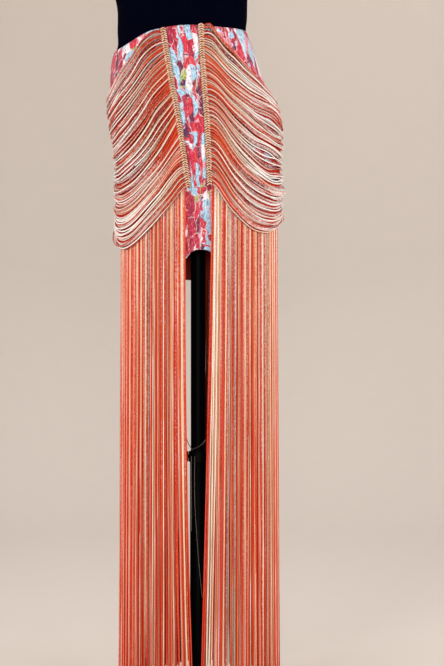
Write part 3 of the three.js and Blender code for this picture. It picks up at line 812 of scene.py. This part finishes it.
class SKIRT_OT_cloth(bpy.types.Operator):
    """Make the printed skirt's four panels, which hug the form down to the seat"""
    bl_idname = "skirt.cloth"
    bl_label = "Printed panels"

    @staticmethod
    def split(drop):
        """How far down the form a row lies, and its share of the way on to the hem."""
        return (np.minimum(drop, SEAT_DOWN),
                np.maximum(drop - SEAT_DOWN, 0) / (SKIRT_LONG - SEAT_DOWN))

    def hung(self, turn_of, out_of, hem_of, columns, rows):
        """Points from the waist to the hem, and the flat places that they were cut at."""
        drop = np.linspace(0, 1, rows)[:, None] * SKIRT_LONG
        down, share = self.split(drop)
        u = np.linspace(0, 1, columns)[None]
        turn = turn_of(u, down, share)
        out = out_of(u, down, share)
        aside = np.sin(turn)
        raised = WAIST_RISE * (np.cos(turn) > 0) * (
            1 - smoothstep(np.abs(aside + 0.2), 0.1, 0.9))
        dip = WAIST_DIP * smoothstep(-aside, 0.4, 0.97) - raised
        lowered = down + dip * np.maximum(0, 1 - drop / 40)
        points = on_form(lowered, turn, out - 2 * share)
        points[..., 2] += (hem_of(turn, u) - points[..., 2]) * share
        return points, u, drop

    def execute(self, context):
        cloth = print_material(
            ("#e3ecf0", "#bcdcea", "#b4d6e6", "#dc8f9c", "#f1e0e4", "#9cc8de", "#cc2a40",
             "#b8263c", "#a61e3a", "#5f1b3c", "#c8303c", "#9ac6de", "#74203f", "#9fae5c",
             "#8f1530", "#4f2850"))
        inside = inside_material()

        def hem_round(turn, u):
            return HEM_FRONT + (HEM_BACK - HEM_FRONT) * smoothstep(
                np.abs(turn) / math.pi, 0, 1)

        def panel(name, node, turn_of, out_of, hem_of, columns, rows, widen):
            points, u, drop = self.hung(turn_of, out_of, hem_of, columns, rows)
            cut = np.stack(np.broadcast_arrays(widen(u, drop), SKIRT_LONG - drop),
                           axis=-1)
            piece = new_piece(name, sheet_mesh(name, points, cut), [cloth, inside],
                              "form", node)
            wall = piece.modifiers.new("cloth_wall", "SOLIDIFY")
            wall.thickness = CLOTH_WALL * MM
            wall.offset = 1.0
            wall.material_offset = 1

        def half(down, share):
            return centre_half(down) + (SEAM_HEM - SEAM_LOW) * share

        for name, side in SIDES.items():
            def side_turn(u, down, share, side=side):
                inner = turn_at(down, half(down, share) + 0.3)
                outer = math.pi / 2 - turn_at(down, 0.15)
                return side * (inner + (outer - inner) * u)

            def soft(u, down, share):
                ease = np.sin(math.pi * u)
                return CLOTH_OUT + ease * (0.7 + 0.7 * np.sin(
                    9 * u + down / 31 + 1.3 * np.sin(down / 17)))

            panel(f"skirt_front_{name}", f"panel_front_{name}", side_turn, soft,
                  hem_round, 60, 110,
                  lambda u, drop, side=side: 300 * side + 205 * u * side + 0 * drop)

        def back_turn(u, down, share):
            gap = turn_at(0, 0.15)
            return math.pi / 2 + gap + (math.pi - 2 * gap) * u

        def back_soft(u, down, share):
            ease = np.sin(math.pi * u) ** 0.5
            return CLOTH_OUT + ease * (0.8 + 0.8 * np.sin(16 * u + down / 40)
                                       + 3 * share * (1 + np.sin(21 * u)))

        def back_hem(turn, u):
            return hem_round(math.pi - np.abs(math.pi - turn), u)

        panel("skirt_back", "panel_back", back_turn, back_soft, back_hem, 110, 110,
              lambda u, drop: 700 + 410 * u + 0 * drop)

        def pleated(u, down, share):
            reach = half(down, share)
            inner = np.clip((2 * u * reach - 5.6) / (2 * reach - 11.2), 0, 1)
            sway = 0.16 * np.sin(down / 23 + 2) + 0.12 * np.sin(down / 9.1 + 1)
            return inner, inner + sway * inner * (1 - inner) * 1.2

        def centre_turn(u, down, share):
            offset = (2 * u - 1) * half(down, share)
            return np.sign(offset) * turn_at(down, np.abs(offset))

        def centre_out(u, down, share):
            inner, bent = pleated(u, down, share)
            fold = np.abs(np.sin(math.pi * PLEATS * bent)) ** 0.62
            height = 3.4 + (1.0 - 3.4) * smoothstep(share, 0.0, 0.12)
            lap = 2.6 * smoothstep(share, 0.0, 0.1) * (
                smoothstep(inner, 0.30, 0.5) * (1 - smoothstep(inner, 0.5, 0.535)))
            crease = 0.5 * np.sin(down / 7.3 + 9 * inner) * np.sin(math.pi * inner)
            return CLOTH_OUT + 0.2 + height * fold + lap + np.maximum(crease, 0)

        def arch(turn, u):
            return HEM_NOTCH + (HEM_FRONT - HEM_NOTCH) * np.abs(u / 0.57 - 1) ** 3

        def slices(u, drop):
            down, share = self.split(drop)
            inner, bent = pleated(u, down, share)
            hidden = PLEAT_DEEP * np.floor(PLEATS * bent + 1e-6) * (share <= 0)
            return 70 * u + hidden + 60 * (inner > 0.5) * (share > 0)

        panel("skirt_centre", "panel_centre_front", centre_turn, centre_out, arch, 150,
              150, slices)
        return {"FINISHED"}


class SKIRT_OT_headings(bpy.types.Operator):
    """Wrap the four upright headings that the swags hang from"""
    bl_idname = "skirt.headings"
    bl_label = "Headings"

    def execute(self, context):
        wraps = context.scene.skirt_sizes.heading_wraps
        cream = yarn_material("heading_wrap", WRAP_DYES, 0.0022, 0.15)
        rng = np.random.default_rng(7)
        for name in SIDES:
            for back in (False, True):
                top = HEADING_BACK_TOP if back else HEADING_TOP
                down = np.linspace(top, HEADING_LOW, 60)[None]
                tape = heading_path(name, back, down, 0.0, 4.7)
                across = heading_path(name, back, down, 1.0, 4.7) - tape
                bundles = [yarn_bundle(tape, HEADING_HALF, 1.0, across, flat=0.32, sides=8)]
                first = np.linspace(top + 1, 300, wraps)[:, None]
                t = np.linspace(0, 1, 7)[None]
                for column in (-1, 1):
                    shaken = rng.uniform(-0.5, 0.5, (wraps, 1))
                    at = heading_path(name, back, first + shaken + 3.4 * t,
                                      column * (0.1 + 5.0 * t),
                                      5.0 + 2.3 * np.sin(math.pi * (0.12 + 0.8 * t)))
                    bundles.append(yarn_bundle(
                        at, WRAP_YARN * (0.75 + 0.25 * np.sin(math.pi * t)),
                        rng.uniform(0, 0.78, (wraps, 1)), outwards(at),
                        pale=rng.uniform(0, 0.2, (wraps, 1)), sides=6))
                new_yarns(f"heading_{'back' if back else 'front'}_{name}", bundles,
                          cream, f"swags_{name}")
        return {"FINISHED"}


class SKIRT_OT_swags(bpy.types.Operator):
    """Hang the loops of yarn that sag round each side from heading to heading"""
    bl_idname = "skirt.swags"
    bl_label = "Swags"

    def execute(self, context):
        sizes = context.scene.skirt_sizes
        loops, radius = sizes.swag_loops, sizes.swag_yarn / MM
        dyed = yarn_material("swag_yarn", SWAG_DYES, 0.0026, 0.36)
        for seed, name in enumerate(SIDES):
            rng = np.random.default_rng(31 + seed)
            way = (0.5 - 0.5 * np.cos(np.linspace(0, math.pi, 49)))[None]
            way = 0.45 * way + 0.55 * np.linspace(0, 1, 49)[None]
            share = (np.arange(loops)[:, None] + 0.5) / loops
            under = swag_paths(name, share, way, -1.1, 0.0)
            # The under layer takes the darkest dyes: painted shade in the gaps between the
            # yarns above it, turning a deeper red towards the sides.
            bundles = [yarn_bundle(under, UNDER_YARN, rng.uniform(0.98, 1.1, (loops, 1)),
                                   outwards(under), pale=-0.9 * bulge(way))]
            for count, low, high in ((loops, 0.2, 2.6), (loops // 2, 2.6, 4.8)):
                near = (np.arange(count) + rng.uniform(0.2, 0.8, count)) / count
                lift = rng.uniform(low, high, count)
                stray = rng.uniform(0, 1, count) > 0.91
                sag = rng.normal(0, 2.6, count) + stray * rng.uniform(4, 11, count)
                lift = lift + stray * 2.5
                dye = red_or_cream(rng, count, SWAG_SPLIT, 0.66 if name == "left" else 0.62)
                fade_and_highlight = rng.uniform(0, 1, (count, 1))
                drift = waves(rng, count, way, 0.8, 0.0018 if name == "left" else 0.0026)
                drift = drift * (0.6 + 1.5 * bulge(way))
                paths = swag_paths(name, near[:, None] + drift, way, lift[:, None]
                                   + waves(rng, count, way, 0.5, 0.4), sag[:, None])
                # The yarns pale towards the swags' sides: partly faded dye and partly a
                # painted highlight.
                fade_and_highlight = (2.4 * fade_and_highlight - 0.5) * np.where(dye < SWAG_SPLIT[0], 0.3, 1.3)[:, None]
                pale = np.clip(bulge(way) * fade_and_highlight - 0.35 * (1 - smoothstep(way, 0.0, 0.18))
                               + waves(rng, count, way, 0.3, 0.1), -0.5, 0.95)
                thick = radius * (1 + waves(rng, count, way, 0.25, 0.05))
                bundles.append(yarn_bundle(paths, thick, dye[:, None], outwards(paths),
                                           pale=pale))
            bundles.append(self.loose_loops(name, way, radius))
            new_yarns(f"swag_yarns_{name}", bundles, dyed, f"swags_{name}")
        return {"FINISHED"}

    @staticmethod
    def loose_loops(name, way, radius):
        """A few yarns that stand out from the hip: more of them on the right."""
        count, share, stand, low, dye = {
            "right": (6, 0.60, 8.0, 17.0, 0.25), "left": (3, 0.70, 4.5, 9.0, 0.05)}[name]
        n = np.arange(count)[:, None]
        lift = (stand + 1.5 * np.sin(2.1 * n)) * np.sin(math.pi * way) ** 6
        paths = swag_paths(name, share + 0.004 * n, way, lift, low + 1.1 * n)
        # They pale towards the side, partly faded dye and partly a painted highlight.
        return yarn_bundle(paths, radius, dye + 0.04 * n, outwards(paths),
                           pale=(0.5 if name == "right" else 0.1) * bulge(way))


class SKIRT_OT_fringe(bpy.types.Operator):
    """Hang each side's curtain of long twisted strands in two layers"""
    bl_idname = "skirt.fringe"
    bl_label = "Fringe"

    def execute(self, context):
        sizes = context.scene.skirt_sizes
        count, radius = sizes.fringe_strands, sizes.fringe_yarn / MM
        dyed = yarn_material("fringe_yarn", FRINGE_DYES, 0.0027, 0.3)
        for seed, name in enumerate(SIDES):
            rng = np.random.default_rng(53 + seed)
            along = np.linspace(0, 1, 25)[None]
            bundles = []
            for layer, off in enumerate(FRINGE_LAYERS):
                share = (np.arange(count) + 0.5 * (1 + layer) % 1 + 0.25) / count
                share = np.clip(share + rng.normal(0, 0.0007, count), 0.001, 0.999)
                dye = np.where(share > 0.93, rng.uniform(0.1, 0.4, count),
                               red_or_cream(rng, count, FRINGE_SPLIT, 0.54, 2))
                sway = waves(rng, count, along, 1.6, 1.15) * along
                lean = rng.normal(0, 1.3, (count, 1)) * along ** 1.5
                ripple = 1.5 * (1 + waves(rng, count, along, 2.0, 0.5)) * along
                ripple = ripple + 2.5 * along ** 2
                paths = fringe_paths(name, share[:, None], along, off,
                                     (sway + lean, ripple))
                tip = sizes.tip_height / MM + rng.normal(0, 3, (count, 1)).clip(-6, 6)
                paths[..., 2] += (tip - paths[..., 2]) * along
                thick = radius * (1 + waves(rng, count, along, 0.2, 0.04))
                pale = np.clip(rng.uniform(-0.3, 0.3, (count, 1)) - 0.4 * along ** 0.7
                               + waves(rng, count, along, 0.35, 0.08), -0.7, 0.4)
                bundles.append(yarn_bundle(paths, thick, dye[:, None],
                                           outwards(paths), pale=pale))
            new_yarns(f"fringe_strands_{name}", bundles, dyed, f"fringe_{name}")
        return {"FINISHED"}


class SKIRT_OT_stage(bpy.types.Operator):
    """Set the camera, the soft lights and a floor that curves up into a backdrop"""
    bl_idname = "skirt.stage"
    bl_label = "Stage"

    def execute(self, context):
        scene = context.scene
        data = bpy.data.cameras.new("photo_view")
        data.sensor_fit = "VERTICAL"
        data.sensor_height = 24
        data.lens = 24 * 2.2 / (666 * 0.0019)
        scene.camera = linked("photo_view", data)
        scene.camera.location = (0.0475, -2.3, 0.735)
        scene.camera.rotation_euler = (math.radians(90), 0, 0)

        flat, bend = 2000, 2400
        curve = [[flat + bend * math.sin(a), bend - bend * math.cos(a) - 0.5]
                 for a in np.linspace(0, math.pi / 2, 24)]
        bowl = [[0, -0.5], *curve, [flat + bend, 4400]]
        backdrop = linked("backdrop", turned_mesh("backdrop", bowl, inward=True))
        plaster = grained_material("backdrop_paper", scene.skirt_colours.backdrop,
                                   (0.645, 0.575, 0.52, 1), 0.02, 0.0002, Roughness=0.95)
        backdrop.data.materials.append(plaster)

        middle = (0, 0, 0.85)
        lights = (("key", (-1.6, -2.6, 2.1), middle, 1.4, 38),
                  ("fill", (1.9, -2.4, 1.5), middle, 1.6, 29),
                  ("front", (0.1, -3.0, 1.0), middle, 0.6, 31),
                  ("left_side", (-2.3, -0.9, 1.3), middle, 1.0, 34),
                  ("right_side", (2.3, -0.9, 1.3), middle, 1.0, 38),
                  ("back_fill", (0.0, 2.6, 2.8), middle, 1.8, 16),
                  ("wall_wash", (0.7, 2.0, 3.9), (0.9, 4.4, 1.0), 1.8, 26))
        for name, at, aim, size, power in lights:
            lamp = bpy.data.lights.new(name, "AREA")
            lamp.shape, lamp.size, lamp.energy = "SQUARE", size, power
            light = linked(name, lamp)
            light.location = at
            light.rotation_euler = (Vector(aim) - Vector(at)).to_track_quat(
                "-Z", "Y").to_euler()
        world = bpy.data.worlds.new("soft_room")
        world.use_nodes = True
        colour, strength = world.node_tree.nodes["Background"].inputs[:2]
        colour.default_value, strength.default_value = (1, 0.985, 0.965, 1), 0.46
        scene.world = world
        scene.view_settings.view_transform = "Standard"
        return {"FINISHED"}


OPERATORS = (SKIRT_OT_stage, SKIRT_OT_form, SKIRT_OT_stand, SKIRT_OT_cloth,
             SKIRT_OT_headings, SKIRT_OT_swags, SKIRT_OT_fringe)


class SKIRT_PT_panel(bpy.types.Panel):
    """Lists the skirt's sizes, colours and pieces"""
    bl_idname = "SKIRT_PT_panel"
    bl_label = "Fringe skirt"
    bl_space_type = "VIEW_3D"
    bl_region_type = "UI"
    bl_category = "Fringe skirt"

    def draw(self, context):
        for settings in (context.scene.skirt_sizes, context.scene.skirt_colours):
            for key in settings.__annotations__:
                self.layout.prop(settings, key)
        for operator in OPERATORS:
            self.layout.operator(operator.bl_idname)


CLASSES = (SkirtSizes, SkirtColours, *OPERATORS, SKIRT_PT_panel)


def register():
    for cls in CLASSES:
        bpy.utils.register_class(cls)
    bpy.types.Scene.skirt_sizes = PointerProperty(type=SkirtSizes)
    bpy.types.Scene.skirt_colours = PointerProperty(type=SkirtColours)


def unregister():
    del bpy.types.Scene.skirt_sizes
    del bpy.types.Scene.skirt_colours
    for cls in reversed(CLASSES):
        bpy.utils.unregister_class(cls)


def main():
    register()
    twisted_plies_group()
    weave_group()
    grain_group()
    for operator in OPERATORS:
        group, name = operator.bl_idname.split(".")
        getattr(getattr(bpy.ops, group), name)()


if __name__ == "__main__":
    main()
